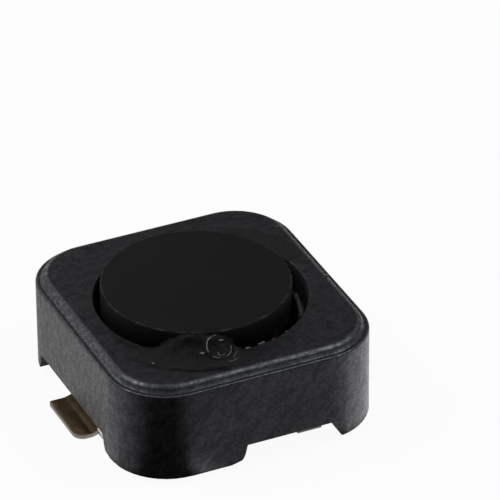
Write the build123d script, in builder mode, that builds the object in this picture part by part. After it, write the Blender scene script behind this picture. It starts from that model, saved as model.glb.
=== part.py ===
# Shielded surface-mount inductor: a wound ferrite drum, glued into a square ferrite shield,
# with two half-moon sheet terminals that clasp the drum's lower flange.
# Millimetres. +Z is up and z = 0 is the board that the solder tabs stand on.
# X runs through the two tabs, and the origin is under the middle of the drum.
import os
from math import cos, radians, sin, tan

from build123d import *

os.makedirs("parts", exist_ok=True)

# Shield, a pressed ferrite ring
shield_length_x = 6.85
shield_length_y = 7.30
shield_height = 2.62
shield_corner_radius = 1.55
shield_offset_x = 0.13        # the drum is glued in this far off the shield's centre
feet_lift = 0.10              # the feet stay this far above the board
bore_diameter = 5.28
bore_edge_chamfer = 0.05
edge_land = 0.12              # flat ledge around the top of the side walls
edge_chamfer_width = 0.10
edge_chamfer_depth = 0.19

# Notches between the feet, measured from the shield's centre
notch_depth = 0.52
notch_draft = 14.0            # degrees, the notches narrow upwards
long_foot_x = 0.55            # inner edges of the two long feet
long_foot_y = 1.83
short_foot_x = 2.10           # inner edges of the two short feet
short_foot_y = 2.31
short_foot_fillet = 0.30
foot_wall = 0.445             # least wall between the feet's round relief and the shield's sides
foot_edge_radius = 0.10

# Drum, a ferrite spool
flange_diameter = 4.74
drum_proud = 0.46             # the upper flange stands this far above the shield
upper_flange_thickness = 0.78
lower_flange_thickness = 0.62
post_diameter = 2.50
flange_edge_chamfer = 0.05

# Winding, one enamelled wire
wire_diameter = 0.15
wire_sides = 8                # the leads' section, kept light
winding_diameter = 4.42
winding_clearance = 0.02

# Terminals, tinned sheet
sheet_thickness = 0.12
plate_bottom = 0.22           # the half-moon plates hang this far above the board
plate_inner_edge = 0.77       # straight edges, from the drum's axis
clasp_clearance = 0.015
claw_height = 0.70            # claws that grip the flange's rim
rim_height = 0.30             # lower rim that carries the lug and the ears
bend_radius = 0.14
tab_width = 1.75
tab_tip = 3.64
tab_land_length = 0.42        # flat solder land at the end of a tab
tab_root = 2.00               # where a tab starts in its plate
tab_crease = 2.46             # where it bends down
tab_bend_radius = 0.20
tab_round_corner = 0.28
tab_sharp_corner = 0.05

# Bent-up walls on the rim of a plate: angles from the tab, start and end
lug_wall_angles = (-72.0, -23.0)
claw_wall_angles = (49.0, 72.0)
ear_wall_angles = (23.0, 34.0)

# Ears beside the tab, and the wire lug
ear_tip = 3.06
ear_inner_edge = 0.98
wide_ear_outer_edge = 1.75
wire_ear_outer_edge = 1.42
ear_corner_radius = 0.10
lug_leg_inner = 1.15
lug_leg_outer = 1.80
lug_leg_reach = 3.42
lug_branch_tip = 0.47
lug_branch_reach = 3.22
lug_branch_radius = 0.24

# Stamped ring on the left plate
stamp_centre_x = -1.72
stamp_centre_y = -0.42
stamp_inner_diameter = 0.98
stamp_outer_diameter = 1.22
stamp_depth = 0.02

# Leads and their solder
lead_start_angle = 66.0       # where a lead leaves the winding
lead_drop_angle = 44.0        # where it turns down past the lower flange
lead_foot_angle = 41.5        # where it turns out to the ear
lead_ear_start = 2.20
lead_hook_length = 0.26       # how far it turns back around the ear's end
lead_gap = 0.01
lead_bend_radius = 0.10
solder_length = 0.34          # how far the solder reaches back along the ear
solder_wet = 0.04             # how far it stands out around the lead
solder_rounding = 0.06
solder_edge_chamfer = 0.05

# Adhesive dabs in the gap on top: start angle and sweep, then the middle radius, the width,
# and how far the dab climbs the drum's wall above the shield
front_dab_angles = (-134.0, 34.0)
front_dab_radius = 2.80
front_dab_width = 1.06
front_dab_climb = 0.38
right_dab_angles = (-39.0, 6.0)
right_dab_radius = 2.58
right_dab_width = 0.50
right_dab_climb = 0.0         # a plain bridge over the gap
back_dab_angles = (20.0, 24.0)
back_dab_radius = 2.92
back_dab_width = 1.16
back_dab_climb = 0.14
climb_inset = 1.0             # degrees, the climb stops this far inside the dab's two ends
film_thickness = 0.05
film_edge_chamfer = 0.03
plug_depth = 0.55             # how deep a dab runs down into the gap
adhesive_gap = 0.005

# Adhesive along the plates' straight edges underneath
base_bead_height = 0.09
base_bead_reach = 0.47
base_bead_foot = -2.10        # its two ends along the edge
base_bead_top = 1.65
base_bead_chamfer = 0.06

# Levels and radii that follow
shield_top = feet_lift + shield_height
land_level = shield_top - edge_chamfer_depth
notch_lean = notch_depth * tan(radians(notch_draft))
shield_base = Plane((shield_offset_x, 0, feet_lift))
foot_relief_radius = min(shield_length_x, shield_length_y) / 2 - foot_wall
flange_radius = flange_diameter / 2
drum_bottom = plate_bottom + sheet_thickness
drum_top = shield_top + drum_proud
window_bottom = drum_bottom + lower_flange_thickness
window_top = drum_top - upper_flange_thickness
rim_inner = flange_radius + clasp_clearance
rim_outer = rim_inner + sheet_thickness
plate_radius = rim_outer - bend_radius
lug_bottom = plate_bottom + rim_height - sheet_thickness
lug_middle = lug_bottom + sheet_thickness / 2
half_turn = (0, 0, 180)


def radial_plane(angle):
    # Upright plane through the drum's axis: local x points outwards and local y points up
    turn = radians(angle)
    return Plane((0, 0, 0), x_dir=(cos(turn), sin(turn), 0), z_dir=(sin(turn), -cos(turn), 0))


def at_angle(radius, angle, height):
    return (radius * cos(radians(angle)), radius * sin(radians(angle)), height)


def notch_outline(lean):
    # Cross-shaped outline of the four notches, with each wall leaning in by the given distance
    long_x, long_y = long_foot_x - lean, long_foot_y - lean
    short_x, short_y = short_foot_x - lean, short_foot_y - lean
    end_x, end_y = shield_length_x, shield_length_y
    return [(end_x, -short_y), (end_x, long_y), (long_x, long_y), (long_x, end_y), (-short_x, end_y),
            (-short_x, short_y), (-end_x, short_y), (-end_x, -long_y), (-long_x, -long_y),
            (-long_x, -end_y), (short_x, -end_y), (short_x, -short_y)]


def finish(piece, label):
    piece.label = label
    export_step(piece, f"parts/{label}.step")


with BuildPart() as shield_core:
    with BuildSketch(shield_base):
        RectangleRounded(shield_length_x, shield_length_y, shield_corner_radius)
    extrude(amount=shield_height - edge_chamfer_depth)
    # Raised top, set in by the ledge, with steep sides
    for level, inset in ((land_level, edge_land), (shield_top, edge_land + edge_chamfer_width)):
        with BuildSketch(shield_base.offset(level - feet_lift)):
            RectangleRounded(shield_length_x - 2 * inset, shield_length_y - 2 * inset,
                             shield_corner_radius - inset)
    loft(ruled=True)
    with BuildSketch(shield_base):
        Circle(bore_diameter / 2)
    extrude(amount=shield_height, mode=Mode.SUBTRACT)
    chamfer(shield_core.faces().sort_by(Axis.Z)[-1].inner_wires()[0].edges(), length=bore_edge_chamfer)
    # Four notches leave two long and two short feet, the same after half a turn
    for depth, lean in ((0, 0), (notch_depth, notch_lean)):
        with BuildSketch(shield_base.offset(depth)):
            with BuildLine():
                Polyline(*notch_outline(lean), close=True)
            make_face()
    loft(ruled=True, mode=Mode.SUBTRACT)
    for side in (1, -1):
        corner = shield_base.from_local_coords((side * short_foot_x, -side * short_foot_y, notch_depth / 2))
        fillet(shield_core.edges().sort_by_distance(corner)[0], radius=short_foot_fillet)
    # Round relief in the feet, then softened edges
    for depth, lean in ((0, 0), (notch_depth, notch_lean)):
        with BuildSketch(shield_base.offset(depth)):
            Circle(foot_relief_radius - lean)
    loft(ruled=True, mode=Mode.SUBTRACT)
    fillet(shield_core.faces().group_by(Axis.Z)[0].edges(), radius=foot_edge_radius)
finish(shield_core.part, "shield_core")

with BuildPart() as drum_core:
    with BuildSketch(Plane.XZ):
        with BuildLine():
            Polyline((0, drum_bottom), (flange_radius, drum_bottom), (flange_radius, window_bottom),
                     (post_diameter / 2, window_bottom), (post_diameter / 2, window_top),
                     (flange_radius, window_top), (flange_radius, drum_top), (0, drum_top), close=True)
        make_face()
    revolve(axis=Axis.Z)
    flange_rims = drum_core.edges().filter_by(GeomType.CIRCLE).group_by(SortBy.RADIUS)[-1]
    chamfer(flange_rims, length=flange_edge_chamfer)
finish(drum_core.part, "drum_core")

with BuildPart() as winding:
    # The coil: each turn of the outer layer shows as a ridge
    coil_inner = post_diameter / 2 + winding_clearance
    coil_outer = winding_diameter / 2 - wire_diameter / 2
    coil_bottom = window_bottom + winding_clearance
    turns = int((window_top - winding_clearance - coil_bottom) / wire_diameter)
    coil_top = coil_bottom + turns * wire_diameter
    with BuildSketch(Plane.XZ):
        with BuildLine():
            ridges = [(coil_outer, coil_bottom)]
            for turn in range(turns):
                low = coil_bottom + turn * wire_diameter
                ridges.append((coil_outer + wire_diameter / 2, low + wire_diameter / 2))
                ridges.append((coil_outer, low + wire_diameter))
            Polyline(*ridges, (coil_inner, coil_top), (coil_inner, coil_bottom), close=True)
        make_face()
    revolve(axis=Axis.Z)
    # The right lead: over the lower flange, down its rim, out along the ear and around the ear's end
    lead_radius = flange_radius + lead_gap + wire_diameter / 2
    lead_level = coil_bottom + wire_diameter / 2
    lead_side = wire_ear_outer_edge + lead_gap + wire_diameter / 2
    lead_end = ear_tip + lead_gap + wire_diameter / 2
    with BuildLine() as lead_path:
        FilletPolyline(at_angle(coil_outer, lead_start_angle, lead_level),
                       at_angle(lead_radius, lead_drop_angle, lead_level),
                       at_angle(lead_radius, lead_foot_angle, lug_middle),
                       (lead_ear_start, lead_side, lug_middle), (lead_end, lead_side, lug_middle),
                       (lead_end, lead_side - lead_hook_length, lug_middle), radius=lead_bend_radius)
    with BuildSketch(Plane(lead_path.line @ 0, z_dir=lead_path.line % 0)):
        RegularPolygon(wire_diameter / 2, wire_sides)
    sweep(path=lead_path.line)
    # The left lead is the same after half a turn
    add(winding.part, rotation=half_turn)
finish(winding.part, "winding")

with BuildPart() as terminal_right:
    # Half-moon plate under the lower flange
    with BuildSketch(Plane.XY.offset(plate_bottom)):
        Circle(plate_radius)
        with Locations((plate_inner_edge, 0)):
            Rectangle(flange_diameter, flange_diameter, align=(Align.MAX, Align.CENTER), mode=Mode.SUBTRACT)
    extrude(amount=sheet_thickness)
    # Walls bent up around the flange's rim
    walls = ((lug_wall_angles, rim_height), (claw_wall_angles, claw_height), (ear_wall_angles, rim_height))
    for (start, end), height in walls:
        with BuildSketch(radial_plane(start)) as wall:
            with BuildLine():
                Polyline((plate_radius - bend_radius, plate_bottom), (rim_outer, plate_bottom),
                         (rim_outer, plate_bottom + height), (rim_inner, plate_bottom + height),
                         (rim_inner, drum_bottom), (plate_radius - bend_radius, drum_bottom), close=True)
            make_face()
            fillet(wall.vertices().group_by(Axis.Y)[0].sort_by(Axis.X)[-1], radius=bend_radius)
        revolve(axis=Axis.Z, revolution_arc=end - start)
    # Ears and the wire lug, turned out from the walls
    with BuildSketch(Plane.XY.offset(lug_bottom)) as flaps:
        for inner, outer in ((ear_inner_edge, wire_ear_outer_edge), (-wide_ear_outer_edge, -ear_inner_edge)):
            with BuildLine():
                Polyline((plate_inner_edge, inner), (ear_tip, inner), (ear_tip, outer),
                         (plate_inner_edge, outer), close=True)
            make_face()
        fillet(flaps.vertices().group_by(Axis.X)[-1], radius=ear_corner_radius)
        with BuildLine():
            Polyline((lug_branch_tip, 0), (lug_branch_tip, -lug_branch_reach),
                     (lug_leg_inner, -lug_branch_reach), (lug_leg_inner, -lug_leg_reach),
                     (lug_leg_outer, -lug_leg_reach), (lug_leg_outer, 0), close=True)
        make_face()
        fillet(flaps.vertices().sort_by_distance((lug_branch_tip, -lug_branch_reach))[0],
               radius=lug_branch_radius)
        Circle((rim_inner + rim_outer) / 2, mode=Mode.SUBTRACT)
    extrude(amount=sheet_thickness)
    # Solder tab, cranked down to the board
    with BuildSketch(Plane.XZ) as tab_section:
        with BuildLine() as tab_line:
            FilletPolyline((tab_root, plate_bottom + sheet_thickness / 2),
                           (tab_crease, plate_bottom + sheet_thickness / 2),
                           (tab_tip - tab_land_length, sheet_thickness / 2),
                           (tab_tip, sheet_thickness / 2), radius=tab_bend_radius)
        trace(tab_line.line, sheet_thickness)
    extrude(amount=tab_width / 2, both=True)
    tip_corners = terminal_right.edges().filter_by(Axis.Z).group_by(Axis.X)[-1].sort_by(Axis.Y)
    fillet(tip_corners[-1], radius=tab_round_corner)
    fillet(terminal_right.edges().filter_by(Axis.Z).group_by(Axis.X)[-1], radius=tab_sharp_corner)
finish(terminal_right.part, "terminal_right")

with BuildPart() as terminal_left:
    add(terminal_right.part, rotation=half_turn)
    with BuildSketch(Plane.XY.offset(plate_bottom)):
        with Locations((stamp_centre_x, stamp_centre_y)):
            Circle(stamp_outer_diameter / 2)
            Circle(stamp_inner_diameter / 2, mode=Mode.SUBTRACT)
    extrude(amount=stamp_depth, mode=Mode.SUBTRACT)
finish(terminal_left.part, "terminal_left")

with BuildPart() as solder_right:
    # A rounded blob around the ear's end and the lead's hook
    blob_back = ear_tip - solder_length
    blob_front = lead_end + wire_diameter / 2 + solder_wet
    blob_inner = lead_side - lead_hook_length
    blob_outer = lead_side + wire_diameter / 2 + solder_wet
    blob_height = wire_diameter + 2 * solder_wet
    with BuildSketch(Plane.XY.offset(lug_middle - blob_height / 2)):
        with Locations(((blob_back + blob_front) / 2, (blob_inner + blob_outer) / 2)):
            Rectangle(blob_front - blob_back, blob_outer - blob_inner)
    extrude(amount=blob_height)
    fillet(solder_right.edges().filter_by(Axis.Z), radius=solder_rounding)
    ends = solder_right.faces().filter_by(Axis.Z)
    chamfer(ends.edges(), length=solder_edge_chamfer)
    add(terminal_right.part, mode=Mode.SUBTRACT)
    add(winding.part, mode=Mode.SUBTRACT)
finish(solder_right.part, "solder_right")

with BuildPart() as solder_left:
    add(solder_right.part, rotation=half_turn)
finish(solder_left.part, "solder_left")

top_dabs = {
    "adhesive_front": (front_dab_angles, front_dab_radius, front_dab_width, front_dab_climb),
    "adhesive_right": (right_dab_angles, right_dab_radius, right_dab_width, right_dab_climb),
    "adhesive_back": (back_dab_angles, back_dab_radius, back_dab_width, back_dab_climb),
}
dab_inner = flange_radius + adhesive_gap
for label, ((start, sweep_angle), middle_radius, width, climb) in top_dabs.items():
    with BuildPart() as dab:
        # Thin film over the shield's top, then the plug that fills the gap below it
        for bottom, height in ((shield_top, film_thickness), (shield_top - plug_depth, plug_depth)):
            with BuildSketch(Plane.XY.offset(bottom)):
                SlotArc(CenterArc((0, 0), middle_radius, start, sweep_angle), width)
                Circle(dab_inner, mode=Mode.SUBTRACT)
                if bottom < shield_top:
                    with Locations((shield_offset_x, 0)):
                        Circle(bore_diameter / 2 - adhesive_gap, mode=Mode.INTERSECT)
            extrude(amount=height)
        chamfer(dab.faces().sort_by(Axis.Z)[-1].outer_wire().edges(), length=film_edge_chamfer)
        # Sloping fillet from the drum's wall down to the film
        if climb > 0:
            dab_outer = middle_radius + width / 2 - 2 * film_edge_chamfer
            with BuildSketch(radial_plane(start + climb_inset)):
                with BuildLine():
                    Polyline((dab_inner, shield_top), (dab_inner, shield_top + climb),
                             (dab_outer, shield_top + film_thickness / 2), (dab_outer, shield_top), close=True)
                make_face()
            revolve(axis=Axis.Z, revolution_arc=sweep_angle - 2 * climb_inset)
    finish(dab.part, label)

with BuildPart() as base_adhesive_right:
    bead_edge = plate_inner_edge - base_bead_reach
    with BuildSketch(Plane.XY.offset(drum_bottom - base_bead_height)):
        with BuildLine():
            bead = ThreePointArc((plate_inner_edge, base_bead_foot),
                                 (bead_edge, (base_bead_foot + base_bead_top) / 2),
                                 (plate_inner_edge, base_bead_top))
            Line(bead @ 1, bead @ 0)
        make_face()
    extrude(amount=base_bead_height)
    bead_rim = base_adhesive_right.edges().filter_by(GeomType.CIRCLE).sort_by(Axis.Z)[0]
    chamfer(bead_rim, length=base_bead_chamfer)
finish(base_adhesive_right.part, "base_adhesive_right")

with BuildPart() as base_adhesive_left:
    add(base_adhesive_right.part)
    mirror(about=Plane.YZ, mode=Mode.REPLACE)
finish(base_adhesive_left.part, "base_adhesive_left")
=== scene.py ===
import math

import bmesh
import bpy
from mathutils import Matrix, Vector, noise


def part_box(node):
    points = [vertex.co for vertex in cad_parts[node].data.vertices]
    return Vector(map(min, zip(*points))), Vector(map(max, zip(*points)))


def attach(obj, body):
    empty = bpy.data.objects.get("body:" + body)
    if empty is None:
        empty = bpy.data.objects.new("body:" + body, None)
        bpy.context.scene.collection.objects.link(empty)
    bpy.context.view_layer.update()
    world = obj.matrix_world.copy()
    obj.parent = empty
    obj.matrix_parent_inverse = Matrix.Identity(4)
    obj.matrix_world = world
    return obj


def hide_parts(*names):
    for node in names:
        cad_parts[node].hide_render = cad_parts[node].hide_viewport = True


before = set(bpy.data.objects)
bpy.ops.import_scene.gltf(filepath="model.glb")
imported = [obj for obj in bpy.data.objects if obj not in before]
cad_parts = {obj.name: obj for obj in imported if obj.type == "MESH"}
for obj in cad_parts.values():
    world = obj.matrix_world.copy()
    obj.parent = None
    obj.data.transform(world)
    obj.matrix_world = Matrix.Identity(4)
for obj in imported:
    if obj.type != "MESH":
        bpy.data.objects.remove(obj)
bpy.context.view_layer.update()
mm = 0.001
scene = bpy.context.scene
print("frame loaded:", len(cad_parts), "nodes")


# Small helpers

def smoothStep(low, high, value):
    t = min(1.0, max(0.0, (value - low) / (high - low)))
    return t * t * (3 - 2 * t)


def evenly(low, high, size):
    count = round((high - low) / size)
    return [low + (high - low) * k / count for k in range(count + 1)]


def polar(radius, angle, height):
    turn = math.radians(angle)
    return Vector((radius * math.cos(turn), radius * math.sin(turn), height))


def waves(spot, rows):
    return sum(height * noise.noise(spot * scale) for scale, height in rows)


def newPiece(name, work, smooth=True):
    mesh = bpy.data.meshes.new(name)
    bmesh.ops.recalc_face_normals(work, faces=work.faces)
    work.to_mesh(mesh)
    work.free()
    for face in mesh.polygons:
        face.use_smooth = smooth
    piece = bpy.data.objects.new(name, mesh)
    scene.collection.objects.link(piece)
    return piece


def evenNormals(piece, keepSharp=True):
    piece.modifiers.new("faceNormals", "WEIGHTED_NORMAL").keep_sharp = keepSharp
    return piece


def seat(piece, nodes, material):
    piece.data.materials.append(material)
    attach(piece, "root")
    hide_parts(*nodes)
    return piece


def nodeCopy(nodeName, edges):
    work = bmesh.new()                                # the node's own form, its flat faces joined
    work.from_mesh(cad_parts[nodeName].data)
    bmesh.ops.remove_doubles(work, verts=work.verts, dist=edges["weld"] * mm)
    flat = math.radians(edges["flatAngle"])
    bmesh.ops.dissolve_limit(work, angle_limit=flat, verts=work.verts, edges=work.edges)
    return work


def sharpEdges(work, edges):
    least = math.radians(edges["sharpAngle"])
    return [e for e in work.edges if e.calc_face_angle(0) > least]


def bevelEdges(work, chosen, radius, segments):
    bmesh.ops.bevel(work, geom=chosen, offset=radius * mm, segments=segments, profile=0.5,
                    affect="EDGES", clamp_overlap=True)


def roundedCopy(nodeName, pieceName, edges):
    work = nodeCopy(nodeName, edges)
    bevelEdges(work, sharpEdges(work, edges), edges["radius"], edges["segments"])
    return evenNormals(newPiece(pieceName, work))


def lathe(work, profile, steps):
    rings = []                                        # profile holds (radius, height) pairs in mm
    for radius, height in profile:
        angles = [360 * k / steps for k in range(steps)] if radius else [0]
        rings.append([work.verts.new(polar(radius, angle, height) * mm) for angle in angles])
    for upper, lower in zip(rings, rings[1:]):
        for k in range(steps):
            following = (k + 1) % steps
            corners = [upper[k % len(upper)], upper[following % len(upper)],
                       lower[following % len(lower)], lower[k % len(lower)]]
            work.faces.new(list(dict.fromkeys(corners)))


def tube(work, path, radius, sides):
    side = (path[1] - path[0]).orthogonal().normalized()
    rings = []
    for k, point in enumerate(path):
        along = (path[min(k + 1, len(path) - 1)] - path[max(k - 1, 0)]).normalized()
        side = (side - along * side.dot(along)).normalized()
        other = along.cross(side)
        ring = []
        for j in range(sides):
            turn = 2 * math.pi * j / sides
            aside = (side * math.cos(turn) + other * math.sin(turn)) * radius
            ring.append(work.verts.new((point + aside) * mm))
        rings.append(ring)
    for first, second in zip(rings, rings[1:]):
        for j in range(sides):
            following = (j + 1) % sides
            work.faces.new((first[j], first[following], second[following], second[j]))
    work.faces.new(rings[0])
    work.faces.new(rings[-1])


def bentRoute(points, radius, steps):
    path = [points[0]]                                # straight runs with an arc at each bend
    for before, corner, after in zip(points, points[1:], points[2:]):
        back, ahead = (before - corner).normalized(), (after - corner).normalized()
        half = back.angle(ahead) / 2
        reach = radius / math.tan(half)
        middle = corner + (back + ahead).normalized() * radius / math.sin(half)
        start, end = corner + back * reach - middle, corner + ahead * reach - middle
        for k in range(steps + 1):
            arm = start.slerp(end, k / steps)
            path.append(middle + arm * radius / arm.length)
    return path + [points[-1]]


def fieldSolid(name, angles, radii, levelsAt):
    work = bmesh.new()                                # closed skin over a polar grid
    spots = {}
    for i, angle in enumerate(angles):
        for j, radius in enumerate(radii):
            levels = levelsAt(angle, radius)          # bottom and top, or nothing outside the dab
            if levels:
                spots[i, j] = [work.verts.new(polar(radius, angle, level) * mm) for level in levels]
    walls = {}
    for i, j in spots:
        ring = [(i, j), (i + 1, j), (i + 1, j + 1), (i, j + 1)]
        if all(k in spots for k in ring):
            work.faces.new([spots[k][1] for k in ring])
            work.faces.new([spots[k][0] for k in reversed(ring)])
            for edge in zip(ring, ring[1:] + ring[:1]):
                if walls.pop(edge[::-1], None) is None:
                    walls[edge] = True
    for first, second in walls:
        rim = work.faces.new((spots[first][1], spots[first][0], spots[second][0], spots[second][1]))
        for edge in rim.edges:                        # the thin rim doesn't bend the light of the top
            edge.smooth = False
    bmesh.ops.delete(work, geom=[v for v in work.verts if not v.link_faces], context="VERTS")
    return newPiece(name, work)


# Shader helpers

def addNode(tree, kind, inputs=None, **settings):
    node = tree.nodes.new(kind)
    for name, value in settings.items():
        setattr(node, name, value)
    for socket, value in (inputs or {}).items():
        node.inputs[socket].default_value = value
    return node


def feed(tree, value, socket):
    if isinstance(value, bpy.types.NodeSocket):
        tree.links.new(value, socket)
    else:
        socket.default_value = value


def startGroup(name, inputs, outputs):
    group = bpy.data.node_groups.new(name, "ShaderNodeTree")
    for label, value in inputs.items():
        socket = group.interface.new_socket(label, in_out="INPUT", socket_type="NodeSocketFloat")
        socket.default_value = value
    for label in outputs:
        group.interface.new_socket(label, in_out="OUTPUT", socket_type="NodeSocketFloat")
    given = group.nodes.new("NodeGroupInput").outputs
    return group, given, group.nodes.new("NodeGroupOutput").inputs


def useGroup(tree, group, values):
    node = tree.nodes.new("ShaderNodeGroup")
    node.node_tree = group
    for label, value in values.items():
        node.inputs[label].default_value = value
    return node.outputs


def blankMaterial(name):
    material = bpy.data.materials.new(name)
    material.use_nodes = True
    tree = material.node_tree
    tree.nodes.clear()
    return material, tree, tree.nodes.new("ShaderNodeOutputMaterial").inputs["Surface"]


def startMaterial(name):
    material, tree, surface = blankMaterial(name)
    skin = tree.nodes.new("ShaderNodeBsdfPrincipled")
    feed(tree, skin.outputs["BSDF"], surface)
    return material, tree, skin.inputs


def mathOf(tree, operation, *values, clamp=False):
    node = addNode(tree, "ShaderNodeMath", operation=operation, use_clamp=clamp)
    for value, socket in zip(values, node.inputs):
        feed(tree, value, socket)
    return node.outputs[0]


def vectorOf(tree, operation, *values):
    node = addNode(tree, "ShaderNodeVectorMath", operation=operation)
    for value, socket in zip(values, node.inputs):
        feed(tree, value, socket)
    return node.outputs["Value" if operation in ("DOT_PRODUCT", "LENGTH") else "Vector"]


def mixColours(tree, factor, first, second):
    mix = addNode(tree, "ShaderNodeMix", data_type="RGBA")
    for value, k in ((factor, 0), (first, 6), (second, 7)):      # where this node has its colour sockets
        feed(tree, value, mix.inputs[k])
    return mix.outputs[2]


def mixValues(tree, factor, first, second):
    mix = addNode(tree, "ShaderNodeMix", data_type="FLOAT")
    for value, k in ((factor, 0), (first, 2), (second, 3)):      # and its value sockets
        feed(tree, value, mix.inputs[k])
    return mix.outputs[0]


def mixShaders(tree, factor, first, second):
    mix = addNode(tree, "ShaderNodeMixShader")
    for value, socket in zip((factor, first, second), mix.inputs):
        feed(tree, value, socket)
    return mix.outputs[0]


def rangeOf(tree, value, fromLow, fromHigh, toLow=0.0, toHigh=1.0):
    node = addNode(tree, "ShaderNodeMapRange")
    feed(tree, value, node.inputs["Value"])
    feed(tree, fromLow, node.inputs["From Min"])
    feed(tree, fromHigh, node.inputs["From Max"])
    feed(tree, toLow, node.inputs["To Min"])
    feed(tree, toHigh, node.inputs["To Max"])
    return node.outputs["Result"]


def noiseOf(tree, place, size, detail, rough):
    texture = addNode(tree, "ShaderNodeTexNoise", {"Detail": detail, "Roughness": rough})
    feed(tree, place, texture.inputs["Vector"])
    feed(tree, mathOf(tree, "DIVIDE", 1 / mm, size), texture.inputs["Scale"])
    return texture.outputs["Fac"]


def upwardOf(tree, normal):
    parts = addNode(tree, "ShaderNodeSeparateXYZ")
    feed(tree, normal, parts.inputs[0])
    return parts.outputs["Z"]


def bumpFrom(tree, height, strength, depth, skin):
    node = addNode(tree, "ShaderNodeBump", {"Strength": strength, "Distance": depth * mm})
    feed(tree, height, node.inputs["Height"])
    feed(tree, node.outputs["Normal"], skin["Normal"])


# Effects that several finishes share, sizes in mm

grainSet = {
    "grain": (3.0, 0.65), "mottle": (5.0, 0.62),      # detail and roughness of the noise
    "stretch": (1.0, 1.0, 0.36),                      # the mottle is longest along the slant
}


def makePressedGrain():
    group, given, result = startGroup(
        "pressedGrain", {"Grain Size": 0.06, "Mottle Size": 0.5, "Slant": 0.6}, ("Grain", "Mottle", "Tone"))
    place = addNode(group, "ShaderNodeTexCoord").outputs["Object"]
    lean = addNode(group, "ShaderNodeVectorRotate", {"Axis": (0.0, 1.0, 0.0)}, rotation_type="AXIS_ANGLE")
    feed(group, place, lean.inputs["Vector"])
    feed(group, given["Slant"], lean.inputs["Angle"])
    stretched = vectorOf(group, "MULTIPLY", lean.outputs["Vector"], grainSet["stretch"])
    grain = noiseOf(group, place, given["Grain Size"], *grainSet["grain"])
    mottle = noiseOf(group, stretched, given["Mottle Size"], *grainSet["mottle"])
    feed(group, grain, result["Grain"])
    feed(group, mottle, result["Mottle"])
    feed(group, mathOf(group, "MULTIPLY", grain, mottle), result["Tone"])
    return group


wearSet = {
    "samples": 6, "bent": (0.998, 0.93),              # how far the softened normal turns away at an edge
    "offSide": (0.48, 0.60), "offTop": (0.995, 0.94),  # a rounded edge leans between side and top
    "noise": (4.0, 0.7), "patches": (0.46, 0.57),
}


# Edges and rounded chamfers in patches: the lighter colour this carries is partly wear, and on the ferrite
# partly a painted highlight
def makeEdgeWearAndSheen():
    group, given, result = startGroup(
        "edgeWearAndSheen", {"Width": 0.04, "Patch Size": 0.2, "Amount": 0.5, "Rounded": 0.0}, ("Mask", "Edge"))
    place = addNode(group, "ShaderNodeTexCoord").outputs["Object"]
    plain = addNode(group, "ShaderNodeNewGeometry").outputs["Normal"]
    soft = addNode(group, "ShaderNodeBevel", samples=wearSet["samples"])
    feed(group, mathOf(group, "MULTIPLY", given["Width"], mm), soft.inputs["Radius"])
    across = vectorOf(group, "DOT_PRODUCT", soft.outputs["Normal"], plain)
    upward = upwardOf(group, plain)
    leaning = mathOf(group, "MULTIPLY", rangeOf(group, upward, *wearSet["offSide"]),
                     rangeOf(group, upward, *wearSet["offTop"]))
    rounded = mathOf(group, "MULTIPLY", leaning, given["Rounded"])
    edge = mathOf(group, "MAXIMUM", rangeOf(group, across, *wearSet["bent"]), rounded)
    patches = noiseOf(group, place, given["Patch Size"], *wearSet["noise"])
    broken = mathOf(group, "MULTIPLY", edge, rangeOf(group, patches, *wearSet["patches"]))
    feed(group, mathOf(group, "MULTIPLY", broken, given["Amount"], clamp=True), result["Mask"])
    feed(group, edge, result["Edge"])
    return group


def makeDustSpecks():
    group, given, result = startGroup("dustSpecks", {"Spacing": 0.6, "Size": 0.05, "Share": 0.12}, ("Mask",))
    cells = addNode(group, "ShaderNodeTexVoronoi")
    feed(group, addNode(group, "ShaderNodeTexCoord").outputs["Object"], cells.inputs["Vector"])
    feed(group, mathOf(group, "DIVIDE", 1 / mm, given["Spacing"]), cells.inputs["Scale"])
    reach = mathOf(group, "DIVIDE", given["Size"], given["Spacing"])
    near = mathOf(group, "LESS_THAN", cells.outputs["Distance"], reach)
    draw = addNode(group, "ShaderNodeSeparateColor")
    feed(group, cells.outputs["Color"], draw.inputs["Color"])
    chosen = mathOf(group, "LESS_THAN", draw.outputs["Red"], given["Share"])
    feed(group, mathOf(group, "MULTIPLY", near, chosen), result["Mask"])
    return group


def makeFacingUp():
    group, given, result = startGroup("facingUp", {"Low": 0.0, "High": 1.0}, ("Mask",))
    upward = upwardOf(group, addNode(group, "ShaderNodeNewGeometry").outputs["Normal"])
    feed(group, rangeOf(group, upward, given["Low"], given["High"]), result["Mask"])
    return group


creviceShadeSet = {"samples": 8, "open": (0.42, 0.74)}     # open room around a fully shaded and an unshaded spot, for the painted crevice shade


# Painted shade: ambient occlusion finds crevices, gaps and recesses, where the colour turns near-black and
# the coat fades
def makeCreviceShade():
    group, given, result = startGroup("creviceShade", {"Distance": 0.75}, ("Unshaded",))
    hidden = addNode(group, "ShaderNodeAmbientOcclusion", samples=creviceShadeSet["samples"])
    feed(group, mathOf(group, "MULTIPLY", given["Distance"], mm), hidden.inputs["Distance"])
    feed(group, rangeOf(group, hidden.outputs["AO"], *creviceShadeSet["open"]), result["Unshaded"])
    return group


pressedGrain = makePressedGrain()
edgeWearAndSheen = makeEdgeWearAndSheen()
dustSpecks = makeDustSpecks()
facingUp = makeFacingUp()
creviceShade = makeCreviceShade()
print("shared effects ready")


# Finishes

noiseSpan = (0.3, 0.7)                                # the part of the noise that a look spreads out
ferriteSet = {
    # the near-black colour in this row is painted shade for crevices and gaps
    "toneSpan": (0.14, 0.38), "coatSpan": (0.19, 0.33), "deep": (0.0004, 0.0003, 0.0003, 1),
    "above": {"Low": 0.3, "High": 1.0}, "calm": 0.65,  # the pressed top is more even than the sides
}


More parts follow.
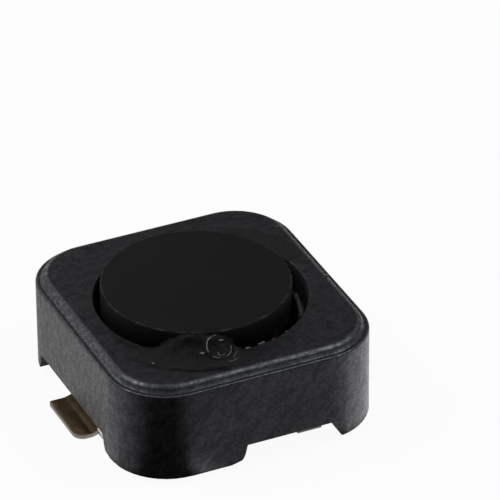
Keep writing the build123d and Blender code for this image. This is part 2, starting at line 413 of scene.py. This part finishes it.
def makeFerrite(name, look):
    material, tree, skin = startMaterial(name)
    texture = useGroup(tree, pressedGrain, look["grain"])
    worn = useGroup(tree, edgeWearAndSheen, look["wear"])
    dust = useGroup(tree, dustSpecks, look["specks"])["Mask"]
    unshaded = useGroup(tree, creviceShade, {"Distance": look["creviceShade"]})["Unshaded"]
    above = useGroup(tree, facingUp, ferriteSet["above"])["Mask"]
    tone = rangeOf(tree, texture["Tone"], *ferriteSet["toneSpan"])
    body = mixColours(tree, tone, look["dark"], look["light"])
    # partly wear, partly painted highlight: edges and chamfers take a lighter colour in patches
    wornAndSheenEdges = mixColours(tree, worn["Mask"], body, look["worn"])
    dusty = mixColours(tree, dust, wornAndSheenEdges, look["speck"])
    # painted shade: spots with little open room around them take the near-black colour
    feed(tree, mixColours(tree, unshaded, ferriteSet["deep"], dusty), skin["Base Color"])
    dull = mathOf(tree, "SUBTRACT", worn["Edge"], worn["Mask"], clamp=True)    # edges gleam only in patches
    pressed = rangeOf(tree, texture["Mottle"], *noiseSpan, look["roughLow"], look["roughHigh"])
    rough = mixValues(tree, dull, pressed, look["roughWorn"])
    feed(tree, mixValues(tree, unshaded, 1.0, rough), skin["Roughness"])           # crevices don't gleam
    skin["Specular IOR Level"].default_value = look["shine"]
    skin["Specular Tint"].default_value = look["tint"]
    sides = rangeOf(tree, texture["Tone"], *ferriteSet["coatSpan"], look["coatLow"], look["coatHigh"])
    calm = rangeOf(tree, above, 0.0, 1.0, 0.0, ferriteSet["calm"])
    coat = mixValues(tree, calm, sides, look["coatTop"])
    faded = mixValues(tree, rangeOf(tree, dull, 0.0, 1.0, 0.0, look["fade"]), coat, 0.0)
    feed(tree, mathOf(tree, "MULTIPLY", faded, unshaded), skin["Coat Weight"])
    skin["Coat Roughness"].default_value = look["coatRough"]
    height = mathOf(tree, "MULTIPLY_ADD", texture["Mottle"], look["mottleBump"], texture["Grain"])
    bumpFrom(tree, height, look["bump"], look["depth"], skin)
    return material


shieldFerrite = makeFerrite("shieldFerrite", {
    "dark": (0.0038, 0.0036, 0.0045, 1), "light": (0.0128, 0.0128, 0.0138, 1),
    # the first colour in this row lightens edges: partly wear, partly painted highlight
    "worn": (0.045, 0.045, 0.048, 1), "speck": (0.45, 0.45, 0.45, 1),
    "shine": 0.70, "tint": (0.88, 0.91, 1.0, 1), "roughLow": 0.30, "roughHigh": 0.42, "roughWorn": 0.56,
    "coatLow": 0.0, "coatHigh": 0.85, "coatTop": 0.42, "coatRough": 0.34, "fade": 0.35, "creviceShade": 0.75,
    "bump": 0.7, "depth": 0.011, "mottleBump": 1.2,
    "grain": {"Grain Size": 0.075, "Mottle Size": 0.17, "Slant": -0.70},
    "wear": {"Width": 0.06, "Patch Size": 0.15, "Amount": 0.9, "Rounded": 1.0},
    "specks": {"Spacing": 1.1, "Size": 0.04, "Share": 0.02}})
drumFerrite = makeFerrite("drumFerrite", {
    "dark": (0.0040, 0.0040, 0.0045, 1), "light": (0.0066, 0.0066, 0.0073, 1),
    # the first colour in this row lightens the rims: partly wear, partly painted highlight
    "worn": (0.045, 0.045, 0.047, 1), "speck": (0.03, 0.03, 0.03, 1),
    "shine": 0.16, "tint": (1, 1, 1, 1), "roughLow": 0.62, "roughHigh": 0.78, "roughWorn": 0.7,
    "coatLow": 0.0, "coatHigh": 0.05, "coatTop": 0.02, "coatRough": 0.5, "fade": 0.35, "creviceShade": 0.90,
    "bump": 0.45, "depth": 0.008, "mottleBump": 0.3,
    "grain": {"Grain Size": 0.06, "Mottle Size": 1.1, "Slant": 0.0},
    "wear": {"Width": 0.06, "Patch Size": 0.35, "Amount": 0.7, "Rounded": 1.0},
    "specks": {"Spacing": 0.5, "Size": 0.03, "Share": 0.10}})


def makeMetal(name, look):
    material, tree, skin = startMaterial(name)
    texture = useGroup(tree, pressedGrain, look["grain"])
    worn = useGroup(tree, edgeWearAndSheen, look["wear"])["Mask"]
    tone = rangeOf(tree, texture["Mottle"], *noiseSpan)
    body = mixColours(tree, tone, look["dark"], look["light"])
    if "above" in look:                               # the upper face is painted darker and browner: painted shade and reflection of dark surroundings
        paintedTopShade = mixColours(tree, tone, look["paintedTopDark"], look["paintedTopLight"])
        body = mixColours(tree, useGroup(tree, facingUp, look["above"])["Mask"], body, paintedTopShade)
    feed(tree, mixColours(tree, worn, body, look["worn"]), skin["Base Color"])
    rough = rangeOf(tree, texture["Grain"], *noiseSpan, look["roughLow"], look["roughHigh"])
    feed(tree, rough, skin["Roughness"])
    skin["Metallic"].default_value = 1.0
    skin["Coat Weight"].default_value = look["coat"]
    bumpFrom(tree, texture["Grain"], look["bump"], look["depth"], skin)
    return material


tinnedSheet = makeMetal("tinnedSheet", {
    "dark": (0.40, 0.40, 0.36, 1), "light": (0.60, 0.60, 0.55, 1), "worn": (0.42, 0.30, 0.16, 1),
    # painted shade and reflection: darker brown colours for the upper face
    "paintedTopDark": (0.16, 0.105, 0.058, 1), "paintedTopLight": (0.33, 0.235, 0.14, 1),
    "above": {"Low": -0.2, "High": 0.3},
    "roughLow": 0.32, "roughHigh": 0.46, "coat": 0.0, "bump": 0.15, "depth": 0.003,
    "grain": {"Grain Size": 0.05, "Mottle Size": 0.5, "Slant": 1.2},
    "wear": {"Width": 0.03, "Patch Size": 0.3, "Amount": 0.5}})
brightSolder = makeMetal("brightSolder", {
    "dark": (0.60, 0.60, 0.60, 1), "light": (0.78, 0.78, 0.77, 1), "worn": (0.85, 0.85, 0.84, 1),
    "roughLow": 0.14, "roughHigh": 0.30, "coat": 0.0, "bump": 0.4, "depth": 0.006,
    "grain": {"Grain Size": 0.09, "Mottle Size": 0.2, "Slant": 0.0},
    "wear": {"Width": 0.02, "Patch Size": 0.1, "Amount": 0.3}})
enamelWire = makeMetal("enamelWire", {
    "dark": (0.20, 0.055, 0.025, 1), "light": (0.46, 0.17, 0.08, 1), "worn": (0.66, 0.34, 0.18, 1),
    "roughLow": 0.25, "roughHigh": 0.38, "coat": 0.6, "bump": 0.1, "depth": 0.002,
    "grain": {"Grain Size": 0.05, "Mottle Size": 0.6, "Slant": 0.0},
    "wear": {"Width": 0.01, "Patch Size": 0.2, "Amount": 0.2}})


def makeGlue(name, look):
    material, tree, skin = startMaterial(name)
    texture = useGroup(tree, pressedGrain, look["grain"])
    body = mixColours(tree, rangeOf(tree, texture["Mottle"], *noiseSpan), look["dark"], look["light"])
    if "film" in look:                                # thin flat glue lets the ferrite through
        above = useGroup(tree, facingUp, look["above"])["Mask"]
        body = mixColours(tree, rangeOf(tree, above, 0.0, 1.0, 0.0, look["filmShare"]), body, look["film"])
    feed(tree, body, skin["Base Color"])
    rough = rangeOf(tree, texture["Mottle"], *noiseSpan, look["roughLow"], look["roughHigh"])
    feed(tree, rough, skin["Roughness"])
    skin["Specular IOR Level"].default_value = look["shine"]
    bumpFrom(tree, texture["Grain"], look["bump"], look["depth"], skin)
    return material


greyGlue = makeGlue("greyGlue", {
    "dark": (0.0012, 0.0012, 0.0014, 1), "light": (0.0062, 0.0062, 0.0067, 1), "shine": 0.10,
    "film": (0.0175, 0.0175, 0.0180, 1), "filmShare": 0.9, "above": {"Low": 0.84, "High": 0.985},
    "roughLow": 0.42, "roughHigh": 0.66, "bump": 0.9, "depth": 0.020,
    "grain": {"Grain Size": 0.10, "Mottle Size": 0.22, "Slant": 0.3}})
paleGlue = makeGlue("paleGlue", {
    "dark": (0.035, 0.031, 0.029, 1), "light": (0.24, 0.21, 0.19, 1), "shine": 0.5,
    "roughLow": 0.25, "roughHigh": 0.45, "bump": 0.3, "depth": 0.004,
    "grain": {"Grain Size": 0.05, "Mottle Size": 0.12, "Slant": 0.0}})
pinkGlue = makeGlue("pinkGlue", {
    "dark": (0.010, 0.007, 0.007, 1), "light": (0.060, 0.048, 0.045, 1), "shine": 0.3,
    "roughLow": 0.50, "roughHigh": 0.70, "bump": 0.4, "depth": 0.008,
    "grain": {"Grain Size": 0.07, "Mottle Size": 0.22, "Slant": 0.0}})
blueGlue = makeGlue("blueGlue", {
    "dark": (0.020, 0.026, 0.036, 1), "light": (0.050, 0.062, 0.080, 1), "shine": 0.5,
    "roughLow": 0.20, "roughHigh": 0.42, "bump": 0.4, "depth": 0.010,
    "grain": {"Grain Size": 0.12, "Mottle Size": 0.5, "Slant": 0.0}})
print("finishes ready")


# Shield

shieldSet = {
    "weld": 0.0005, "clean": 0.0005, "flatAngle": 0.4, "sharpAngle": 24, "radius": 0.02, "segments": 2,
    "half": (3.425, 3.65), "corner": 1.55, "middle": (0.13, 0.0),      # outline seen from above
    "land": 2.53, "crown": 2.72, "levelSlack": 0.004,                  # levels of the ledge and of the top
    "roundings": (("crown", 0.15, 0.30, 0.105, 5),                     # level, inset, radius, segments
                  ("land", 0.08, 0.16, 0.012, 1),
                  ("land", -0.04, 0.04, 0.055, 4)),
    "leftSharp": (0.20, 0.02),                                         # from below the ledge to below the top
    "footBottom": 0.10, "footLean": 14, "longRadius": 0.28, "shortRadius": 0.18,
    "longFoot": (0.55, 1.83), "shortFoot": (2.10, 2.31), "notch": 0.52,
    "footSlack": 0.01, "footOutside": 1.5, "cutMerge": 0.00001,
}


def insetOf(point):
    x, y = (abs(c / mm - m) - h + shieldSet["corner"]
            for c, m, h in zip(point.xy, shieldSet["middle"], shieldSet["half"]))
    return shieldSet["corner"] - math.hypot(max(x, 0), max(y, 0)) - min(max(x, y), 0)


def atLevel(work, level, least, most):
    slack = shieldSet["levelSlack"]
    return [e for e in sharpEdges(work, shieldSet)
            if all(abs(v.co.z / mm - level) < slack and least < insetOf(v.co) < most for v in e.verts)]


def footWalls():
    walls = []                                        # axis, place, side and rounding of each foot's end
    for axis in (0, 1):
        for foot in ("long", "short"):
            for side in (1, -1):
                place = side * shieldSet[foot + "Foot"][axis] + shieldSet["middle"][axis]
                walls.append((axis, place, side, shieldSet[foot + "Radius"]))
    return walls


def cutFeet(work, walls):
    low = shieldSet["footBottom"]
    ceiling = low + shieldSet["notch"] - shieldSet["footSlack"]
    merge = shieldSet["cutMerge"] * mm
    cuts = {(2, low + radius) for axis, place, side, radius in walls}
    cuts |= {(axis, place + side * radius) for axis, place, side, radius in walls}
    for axis, place in sorted(cuts):                  # loops where the roundings run out
        normal, origin = Vector((0, 0, 0)), Vector((0, 0, 0))
        normal[axis], origin[axis] = 1, place * mm
        near = [f for f in work.faces if min(v.co.z for v in f.verts) / mm < ceiling]
        geom = list(dict.fromkeys(e for f in near for e in f.edges)) + near
        geom += list(dict.fromkeys(v for f in near for v in f.verts))
        bmesh.ops.bisect_plane(work, geom=geom, dist=merge, plane_co=origin, plane_no=normal)


def roundFeet(work):
    low, lean = shieldSet["footBottom"], math.tan(math.radians(shieldSet["footLean"]))
    walls = footWalls()
    cutFeet(work, walls)
    for vert in work.verts:
        rise = vert.co.z / mm - low
        for axis, place, side, radius in walls:
            into = (vert.co[axis] / mm - place) * side + lean * rise
            atEnd = -shieldSet["footSlack"] < into < radius and rise < radius
            if atEnd and abs(vert.co[1 - axis]) > shieldSet["footOutside"] * mm:
                away = math.hypot(radius - into, radius - rise)
                if away > radius:
                    rise = radius - (radius - rise) * radius / away
                    into = radius - (radius - into) * radius / away
                    vert.co[axis] = (place + side * (into - lean * rise)) * mm
                    vert.co.z = (low + rise) * mm
                    break


def makeShield():
    work = nodeCopy("shield_core", shieldSet)
    for level, least, most, radius, segments in shieldSet["roundings"]:
        bevelEdges(work, atLevel(work, shieldSet[level], least, most), radius, segments)
    low = shieldSet["land"] - shieldSet["leftSharp"][0]
    high = shieldSet["crown"] - shieldSet["leftSharp"][1]
    rest = [e for e in sharpEdges(work, shieldSet) if not low < e.verts[0].co.z / mm < high]
    bevelEdges(work, rest, shieldSet["radius"], shieldSet["segments"])
    roundFeet(work)
    feet = [v for v in work.verts if v.co.z / mm < shieldSet["footBottom"] + shieldSet["longRadius"]]
    bmesh.ops.remove_doubles(work, verts=feet, dist=shieldSet["clean"] * mm)   # slivers left by the roundings
    return evenNormals(newPiece("shield", work))


shield = seat(makeShield(), ["shield_core"], shieldFerrite)
shieldLow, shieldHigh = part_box("shield_core")
print("shield:", len(shield.data.polygons), "faces")


# Drum

drumSet = {"steps": 192, "rim": 0.055, "rimSteps": 4, "post": 1.25, "upper": 0.78, "lower": 0.62}
drumLow, drumHigh = (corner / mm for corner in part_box("drum_core"))
drumRadius = drumHigh.x


def roundRim(level, inward):
    rim, count = drumSet["rim"], drumSet["rimSteps"]
    turns = [math.pi / 2 * k / count for k in range(count + 1)]
    return [(drumRadius - rim + rim * math.sin(t), level - inward * (rim - rim * math.cos(t))) for t in turns]


def makeDrum():
    top, bottom = drumHigh.z, drumLow.z
    windowTop, windowBottom = top - drumSet["upper"], bottom + drumSet["lower"]
    profile = [(0, top)] + roundRim(top, 1) + roundRim(windowTop, -1)[::-1]
    profile += [(drumSet["post"], windowTop), (drumSet["post"], windowBottom)]
    profile += roundRim(windowBottom, 1) + roundRim(bottom, -1)[::-1] + [(0, bottom)]
    work = bmesh.new()
    lathe(work, profile, drumSet["steps"])
    return evenNormals(newPiece("drum", work), keepSharp=False)


drum = seat(makeDrum(), ["drum_core"], drumFerrite)
print("drum:", len(drum.data.polygons), "faces")


# Winding

windingSet = {
    "wire": 0.15, "outside": 4.42, "clearance": 0.02, "stepsPerTurn": 96, "sides": 10,
    "leadAngles": (66.0, 44.0, 41.5), "leadGap": 0.01, "leadBend": 0.10, "bendSteps": 6, "leadLevel": 0.46,
    "earStart": 2.20, "earTip": 3.06, "earEdge": 1.42, "hook": 0.26,
}


def leadRoute(radius, low):
    start, drop, foot = windingSet["leadAngles"]
    beside = windingSet["leadGap"] + windingSet["wire"] / 2
    rim = drumRadius + beside
    side = windingSet["earEdge"] + beside
    end = windingSet["earTip"] + beside
    level = windingSet["leadLevel"]
    return [polar(radius, start, low), polar(rim, drop, low), polar(rim, foot, level),
            Vector((windingSet["earStart"], side, level)), Vector((end, side, level)),
            Vector((end, side - windingSet["hook"], level))]


def makeWinding():
    wire, perTurn = windingSet["wire"], windingSet["stepsPerTurn"]
    low = drumLow.z + drumSet["lower"] + windingSet["clearance"]
    high = drumHigh.z - drumSet["upper"] - windingSet["clearance"]
    turns = int((high - low) / wire)
    top = low + turns * wire
    first = low + wire / 2                            # level of the first turn's middle
    climb = (turns - 1) * wire
    radius = windingSet["outside"] / 2 - wire / 2
    inner = drumSet["post"] + windingSet["clearance"]
    steps = perTurn * turns
    work = bmesh.new()
    helix = [polar(radius, 360 * k / perTurn, first + climb * k / steps) for k in range(steps + 1)]
    tube(work, helix, wire / 2, windingSet["sides"])
    lathe(work, [(inner, top), (radius, top), (radius, low), (inner, low), (inner, top)], perTurn)
    lead = bentRoute(leadRoute(radius, first), windingSet["leadBend"], windingSet["bendSteps"])
    for half in (1, -1):                              # the second lead is the first after half a turn
        tube(work, [Vector((half * p.x, half * p.y, p.z)) for p in lead], wire / 2, windingSet["sides"])
    return newPiece("coil", work)


coil = seat(makeWinding(), ["winding"], enamelWire)
print("coil:", len(coil.data.polygons), "faces")


# Terminals, solder and the glue underneath

terminalSet = {"radius": 0.02, "segments": 2, "sharpAngle": 28, "flatAngle": 0.4, "weld": 0.0005}
for side in ("left", "right"):
    terminal = roundedCopy("terminal_" + side, "terminal_sheet_" + side, terminalSet)
    seat(terminal, ["terminal_" + side], tinnedSheet)
solderSet = {"radius": 0.06, "segments": 4, "sharpAngle": 40, "flatAngle": 0.4, "weld": 0.0005}
for side in ("left", "right"):
    blob = roundedCopy("solder_" + side, "solder_blob_" + side, solderSet)
    seat(blob, ["solder_" + side], brightSolder)
    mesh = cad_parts["base_adhesive_" + side].data
    mesh.materials.clear()
    mesh.materials.append(blueGlue)
print("terminals ready")


# Glue on top: angles in degrees, radii and heights in mm, noise as (scale, height)

shieldTop = shieldHigh.z / mm
boreSet = {
    "radius": 2.635, "middle": (shieldLow.x + shieldHigh.x) / 2 / mm, "gap": 0.005,
    "plug": 0.55, "sag": 0.35, "leastFill": 0.02,     # how deep the glue fills the gap, and sinks at its ends
}
dabGrid = {"angle": 0.4, "radius": 0.013, "least": 0.003, "thinnest": 0.002}
filmSet = {"waves": ((1.9, 0.30), (5.5, 0.12)), "power": 3, "fade": (1.0, 0.45), "thickness": ((4.0, 0.5),)}
frontDab = {
    "angles": (-149, -85), "reach": 3.46, "middle": (-117, 2.88), "half": (30, 0.50), "film": 0.045,
    "plugEnds": ((-138.5, -135), (-90, -93)),
    "climb": 0.46, "climbMiddle": -113, "climbHalf": 26, "slope": 0.66, "slopePower": 1.5,
    "uneven": ((3.2, 0.050), (8.0, 0.022)), "unevenRise": 4, "unevenFoot": 0.3,
    "bubble": (-102.2, 2.70), "bubbleSize": 0.30, "bubbleSquash": 1.1,
    "bubbleRim": 0.03, "bubbleRimWidth": 0.04, "bubbleDip": 0.035, "bubbleFloor": 0.12,
}
backDab = {
    "angles": (4, 60), "reach": 3.60, "middle": (32, 2.96), "half": (23, 0.50), "film": 0.014,
    "plugEnds": ((12, 16), (52, 48)), "climb": 0.14, "climbEnds": ((15, 22), (49, 42)), "slope": 0.5,
}
rightDab = {
    "angles": (-49, -25), "reach": 2.84, "width": 0.05,
    "from": (-28, 2.41, 0.18), "to": (-44, 2.74, 0.02),                # angle, radius and crest of each end
    "flank": 4.0, "perDegree": 0.05, "endDrop": 12, "uneven": ((7.0, 0.02),), "lowest": -0.42, "cut": -0.9,
}


def inside(ends, angle):
    return smoothStep(*ends[0], angle) * smoothStep(*ends[1], angle)


def boreAt(angle):
    turn = math.radians(angle)
    across = boreSet["middle"] * math.sin(turn)
    along = boreSet["middle"] * math.cos(turn)
    return along + math.sqrt(boreSet["radius"] ** 2 - across ** 2) - dabGrid["radius"]


def filmAt(look, angle, radius):
    spot = polar(radius, angle, 0)
    aside = abs((angle - look["middle"][0]) / look["half"][0]) ** filmSet["power"]
    beyond = abs((radius - look["middle"][1]) / look["half"][1]) ** filmSet["power"]
    away = aside + beyond + waves(spot, filmSet["waves"])
    return look["film"] * smoothStep(*filmSet["fade"], away) * (1 + waves(spot, filmSet["thickness"]))


def plugLevels(look, angle, height):
    filled = inside(look["plugEnds"], angle)
    sag = boreSet["sag"] * (1 - filled)
    return filled > boreSet["leastFill"] and (shieldTop - boreSet["plug"], shieldTop + height - sag)


def frontTop(angle, radius):
    look = frontDab
    wall = look["climb"] * max(0.0, 1 - ((angle - look["climbMiddle"]) / look["climbHalf"]) ** 2)
    slope = max(0.0, 1 - (radius - drumRadius) / look["slope"])
    uneven = waves(polar(radius, angle, 0), look["uneven"]) * min(1.0, wall * look["unevenRise"])
    uneven *= look["unevenFoot"] + (1 - look["unevenFoot"]) * slope
    height = wall * slope ** look["slopePower"] + filmAt(look, angle, radius) + uneven
    along = math.radians(angle - look["bubble"][0]) * radius
    away = math.hypot(along, (radius - look["bubble"][1]) * look["bubbleSquash"])
    rim = math.exp(-((away - look["bubbleSize"]) / look["bubbleRimWidth"]) ** 2)
    dip = smoothStep(look["bubbleSize"], look["bubbleFloor"], away)
    return height + look["bubbleRim"] * rim - look["bubbleDip"] * dip


def frontLevels(angle, radius):
    height = frontTop(angle, radius)
    if radius < boreAt(angle):
        return plugLevels(frontDab, angle, height)
    covered = filmAt(frontDab, angle, radius) > dabGrid["least"]
    return covered and (shieldTop, shieldTop + max(height, dabGrid["thinnest"]))


def backLevels(angle, radius):
    film = filmAt(backDab, angle, radius)
    slope = max(0.0, 1 - (radius - drumRadius) / backDab["slope"])
    height = film + backDab["climb"] * slope * inside(backDab["climbEnds"], angle)
    if radius < boreAt(angle):
        return plugLevels(backDab, angle, height)
    return film > dabGrid["least"] and (shieldTop, shieldTop + height)


def rightLevels(angle, radius):
    look = rightDab
    start, end = look["from"], look["to"]
    share = min(1.0, max(0.0, (angle - start[0]) / (end[0] - start[0])))
    middle = start[1] + (end[1] - start[1]) * share
    crest = start[2] + (end[2] - start[2]) * share
    past = max(0.0, angle - start[0], end[0] - angle) * look["perDegree"]
    aside = max(0.0, abs(radius - middle) - look["width"])
    height = crest - look["flank"] * aside - past * past * look["endDrop"]
    height += waves(polar(radius, angle, 0), look["uneven"])
    if radius < boreAt(angle):
        return height > look["cut"] and (shieldTop - boreSet["plug"], shieldTop + max(height, look["lowest"]))
    return height > dabGrid["least"] and (shieldTop, shieldTop + height)


for side, look, levelsAt, glue in (("front", frontDab, frontLevels, greyGlue),
                                   ("back", backDab, backLevels, greyGlue),
                                   ("right", rightDab, rightLevels, pinkGlue)):
    radii = evenly(drumRadius + boreSet["gap"], look["reach"], dabGrid["radius"])
    dab = fieldSolid("dab_" + side, evenly(*look["angles"], dabGrid["angle"]), radii, levelsAt)
    seat(dab, ["adhesive_" + side], glue)
    print("glue,", side + ":", len(dab.data.polygons), "faces")

fleckSet = {
    "arcs": ((118, 205, 0.017), (95, 112, 0.012), (-62, 12, 0.013),    # around the bubble: from, to, size
             (228, 262, 0.012)),
    "lines": (((-96.6, 2.98), (-93.4, 2.80), 0.010),                   # from, to (angle, radius), size
              ((-99.5, 3.12), (-94.6, 3.02), 0.010),
              ((-103.4, 2.74), (-102.6, 2.84), 0.012),
              ((-102.7, 2.84), (-99.9, 2.83), 0.010)),
    "lumps": ((-111.3, 2.80, 0.060, 0.045, 0.014),                     # angle, radius, three sizes
              (-86.2, 2.66, 0.075, 0.035, 0.02),
              (-78.6, 2.67, 0.065, 0.03, 0.02),
              (-76.6, 2.66, 0.05, 0.04, 0.02),
              (-100.4, 2.50, 0.07, 0.04, 0.012),
              (33.7, 3.83, 0.035, 0.03, 0.02),
              (-133, 3.23, 0.035, 0.03, 0.02),
              (-8.7, 3.37, 0.03, 0.04, 0.03)),
    "sides": 6, "arcSteps": 12, "lineSteps": 6,
    "finer": 2, "rough": 0.55, "noiseScale": 1.9, "noiseSpread": 9,    # the lumps' own surface
}


def onGlue(angle, radius):
    return polar(radius, angle, shieldTop + max(0.0, frontTop(angle, radius)))


def lump(work, centre, sizes, turn):
    place = Matrix.Translation(centre * mm) @ Matrix.Rotation(math.radians(turn), 4, "Z")
    made = bmesh.ops.create_icosphere(work, subdivisions=fleckSet["finer"], radius=1.0)["verts"]
    for vert in made:
        spot = vert.co * fleckSet["noiseScale"] + centre * fleckSet["noiseSpread"]
        rough = 1 + fleckSet["rough"] * noise.noise(spot)
        vert.co = place @ Vector([c * size * mm * rough for c, size in zip(vert.co, sizes)])


def makeFlecks():
    work = bmesh.new()
    middle, size, squash = (frontDab[k] for k in ("bubble", "bubbleSize", "bubbleSquash"))
    count = fleckSet["arcSteps"]
    for start, end, thick in fleckSet["arcs"]:
        path = []
        for k in range(count + 1):
            turn = math.radians(start + (end - start) * k / count)
            radius = middle[1] - size * math.sin(turn) / squash
            path.append(onGlue(middle[0] + math.degrees(size * math.cos(turn) / radius), radius))
        tube(work, path, thick, fleckSet["sides"])
    count = fleckSet["lineSteps"]
    for start, end, thick in fleckSet["lines"]:
        path = [onGlue(*(a + (b - a) * k / count for a, b in zip(start, end))) for k in range(count + 1)]
        tube(work, path, thick, fleckSet["sides"])
    for angle, radius, *sizes in fleckSet["lumps"]:
        lump(work, onGlue(angle, radius), sizes, angle + 90)
    return newPiece("glue_flecks", work)


flecks = makeFlecks()
flecks.data.materials.append(paleGlue)
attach(flecks, "root")
print("glue ready")


# Floor, light and camera

stageSet = {
    "floorRadius": 0.9, "floorSides": 96, "floorColour": (0.86, 0.86, 0.86, 1),      # radius in metres
    "whiteSeen": 0.94,                                # share of plain white that the eye gets
    "room": 0.05,
}
underSet = {                                          # here the eye sees the plain floor in the part's shadow
    "middle": (0.35, 0.40), "half": (3.20, 3.10), "corner": 1.30, "fade": (0.20, 0.05),
}
shadeSet = {                                          # from (mm), towards, core, rim (degrees), depth
    "corner": ((-1.75, -2.10, 0), 243, 27, 40, 1.0),
    "cornerLeft": ((-1.75, -2.10, 0), 210, 16, 36, 0.62),
    "front": ((0.6, -1.50, 0), 274, 34, 41, 0.71),
    "left": ((0, 0, 0), 150, 50, 80, 0.47),
    "right": ((0, 0, 0), 50, 25, 55, 0.45),
}


# Soft wedges of shade in the floor that the part mirrors
def shadeOf(tree, place, shade):
    for apex, turn, core, rim, depth in shadeSet.values():
        heading = vectorOf(tree, "NORMALIZE", vectorOf(tree, "SUBTRACT", place, Vector(apex) * mm))
        facing = vectorOf(tree, "DOT_PRODUCT", heading, polar(1, turn, 0))
        ends = [math.cos(math.radians(angle)) for angle in (core, rim)]
        shade = mathOf(tree, "MULTIPLY", shade, rangeOf(tree, facing, *ends, 1 - depth, 1.0))
    return shade


def whiteAround(tree, place):
    straight = [half - underSet["corner"] for half in underSet["half"]]
    away = place
    for operation, value in (("SUBTRACT", underSet["middle"]), ("ABSOLUTE", (0, 0)),
                             ("SUBTRACT", straight), ("MAXIMUM", (0, 0))):
        away = vectorOf(tree, operation, away, Vector((*value, 0)) * mm)
    ends = [(underSet["corner"] - inset) * mm for inset in underSet["fade"]]
    return rangeOf(tree, vectorOf(tree, "LENGTH", away), *ends, 0.0, stageSet["whiteSeen"])


def makeFloor():
    work = bmesh.new()
    bmesh.ops.create_circle(work, cap_ends=True, segments=stageSet["floorSides"],
                            radius=stageSet["floorRadius"])
    floor = newPiece("floor", work, smooth=False)
    material, tree, surface = blankMaterial("paleFloor")
    plain = addNode(tree, "ShaderNodeBsdfDiffuse", {"Color": stageSet["floorColour"]})
    white = addNode(tree, "ShaderNodeEmission")
    clear = addNode(tree, "ShaderNodeBsdfTransparent")
    rays = addNode(tree, "ShaderNodeLightPath").outputs
    point = addNode(tree, "ShaderNodeNewGeometry").outputs
    mirrored = mathOf(tree, "MAXIMUM", rays["Is Glossy Ray"], rays["Is Transmission Ray"])
    shade = shadeOf(tree, point["Position"], mirrored)
    feed(tree, mathOf(tree, "ADD", rays["Is Camera Ray"], shade), white.inputs["Strength"])
    seen = whiteAround(tree, point["Position"])
    share = mathOf(tree, "MULTIPLY_ADD", rays["Is Camera Ray"], seen, mirrored)
    lit = mixShaders(tree, share, plain.outputs[0], white.outputs[0])
    oneSided = mixShaders(tree, point["Backfacing"], lit, clear.outputs[0])    # open from below
    feed(tree, oneSided, surface)
    floor.data.materials.append(material)


def makeWorld():
    world = bpy.data.worlds.new("studio")
    scene.world = world
    world.use_nodes = True
    tree = world.node_tree
    tree.nodes.clear()
    output = tree.nodes.new("ShaderNodeOutputWorld")
    sky = addNode(tree, "ShaderNodeBackground", {"Color": (1, 1, 1, 1), "Strength": stageSet["room"]})
    feed(tree, sky.outputs[0], output.inputs["Surface"])


lampAim = Vector((0, 0, 1))                           # mm
lampSet = {                                           # name: from and size in mm, watts, colour
    "sideLeft": ((-104, 48, 164), 100, 0.163, (1.0, 1.0, 1.0)),
    "sideRight": ((104, -48, 164), 100, 0.163, (0.94, 0.97, 1.0)),
    "backRight": ((100, 100, 51), 60, 0.004, (1.0, 1.0, 1.0)),
    "back": ((0, 141, 51), 60, 0.014, (1.0, 1.0, 1.0)),
    "backLeft": ((-100, 100, 51), 60, 0.020, (1.0, 1.0, 1.0)),
}


def makeLamps():
    for name, (place, size, watts, colour) in lampSet.items():
        data = bpy.data.lights.new(name, "AREA")
        data.size = size * mm
        data.energy = watts
        data.color = colour
        lamp = bpy.data.objects.new(name, data)
        scene.collection.objects.link(lamp)
        lamp.location = Vector(place) * mm
        lamp.rotation_euler = (lampAim - Vector(place)).to_track_quat("-Z", "Y").to_euler()


cameraSet = {
    "azimuth": -24.495, "elevation": 32.081, "roll": -0.467,           # degrees
    "distance": 121.54, "moveRight": 1.191, "moveUp": 3.330,           # mm, from under the shield's middle
    "lens": 350.94, "sensor": 36, "clip": (0.001, 100),                # clip in metres
}


def makeCamera():
    azimuth, elevation, roll = (math.radians(cameraSet[k]) for k in ("azimuth", "elevation", "roll"))
    level = Vector((math.cos(azimuth), math.sin(azimuth), 0))
    back = Vector((math.sin(azimuth) * math.cos(elevation), -math.cos(azimuth) * math.cos(elevation),
                   math.sin(elevation)))
    upright = back.cross(level)
    right = level * math.cos(roll) + upright * math.sin(roll)
    up = upright * math.cos(roll) - level * math.sin(roll)
    aim = Vector(((shieldLow.x + shieldHigh.x) / 2, (shieldLow.y + shieldHigh.y) / 2, shieldLow.z))
    place = back * cameraSet["distance"] + right * cameraSet["moveRight"] + up * cameraSet["moveUp"]
    data = bpy.data.cameras.new("camera")
    data.lens = cameraSet["lens"]
    data.sensor_width = cameraSet["sensor"]
    data.clip_start, data.clip_end = cameraSet["clip"]
    camera = bpy.data.objects.new("camera", data)
    scene.collection.objects.link(camera)
    turn = Matrix((right, up, back)).transposed().to_4x4()
    camera.matrix_world = Matrix.Translation(aim + place * mm) @ turn
    scene.camera = camera


makeFloor()
makeWorld()
makeLamps()
makeCamera()
scene.view_settings.view_transform = "Standard"
print("stage ready")
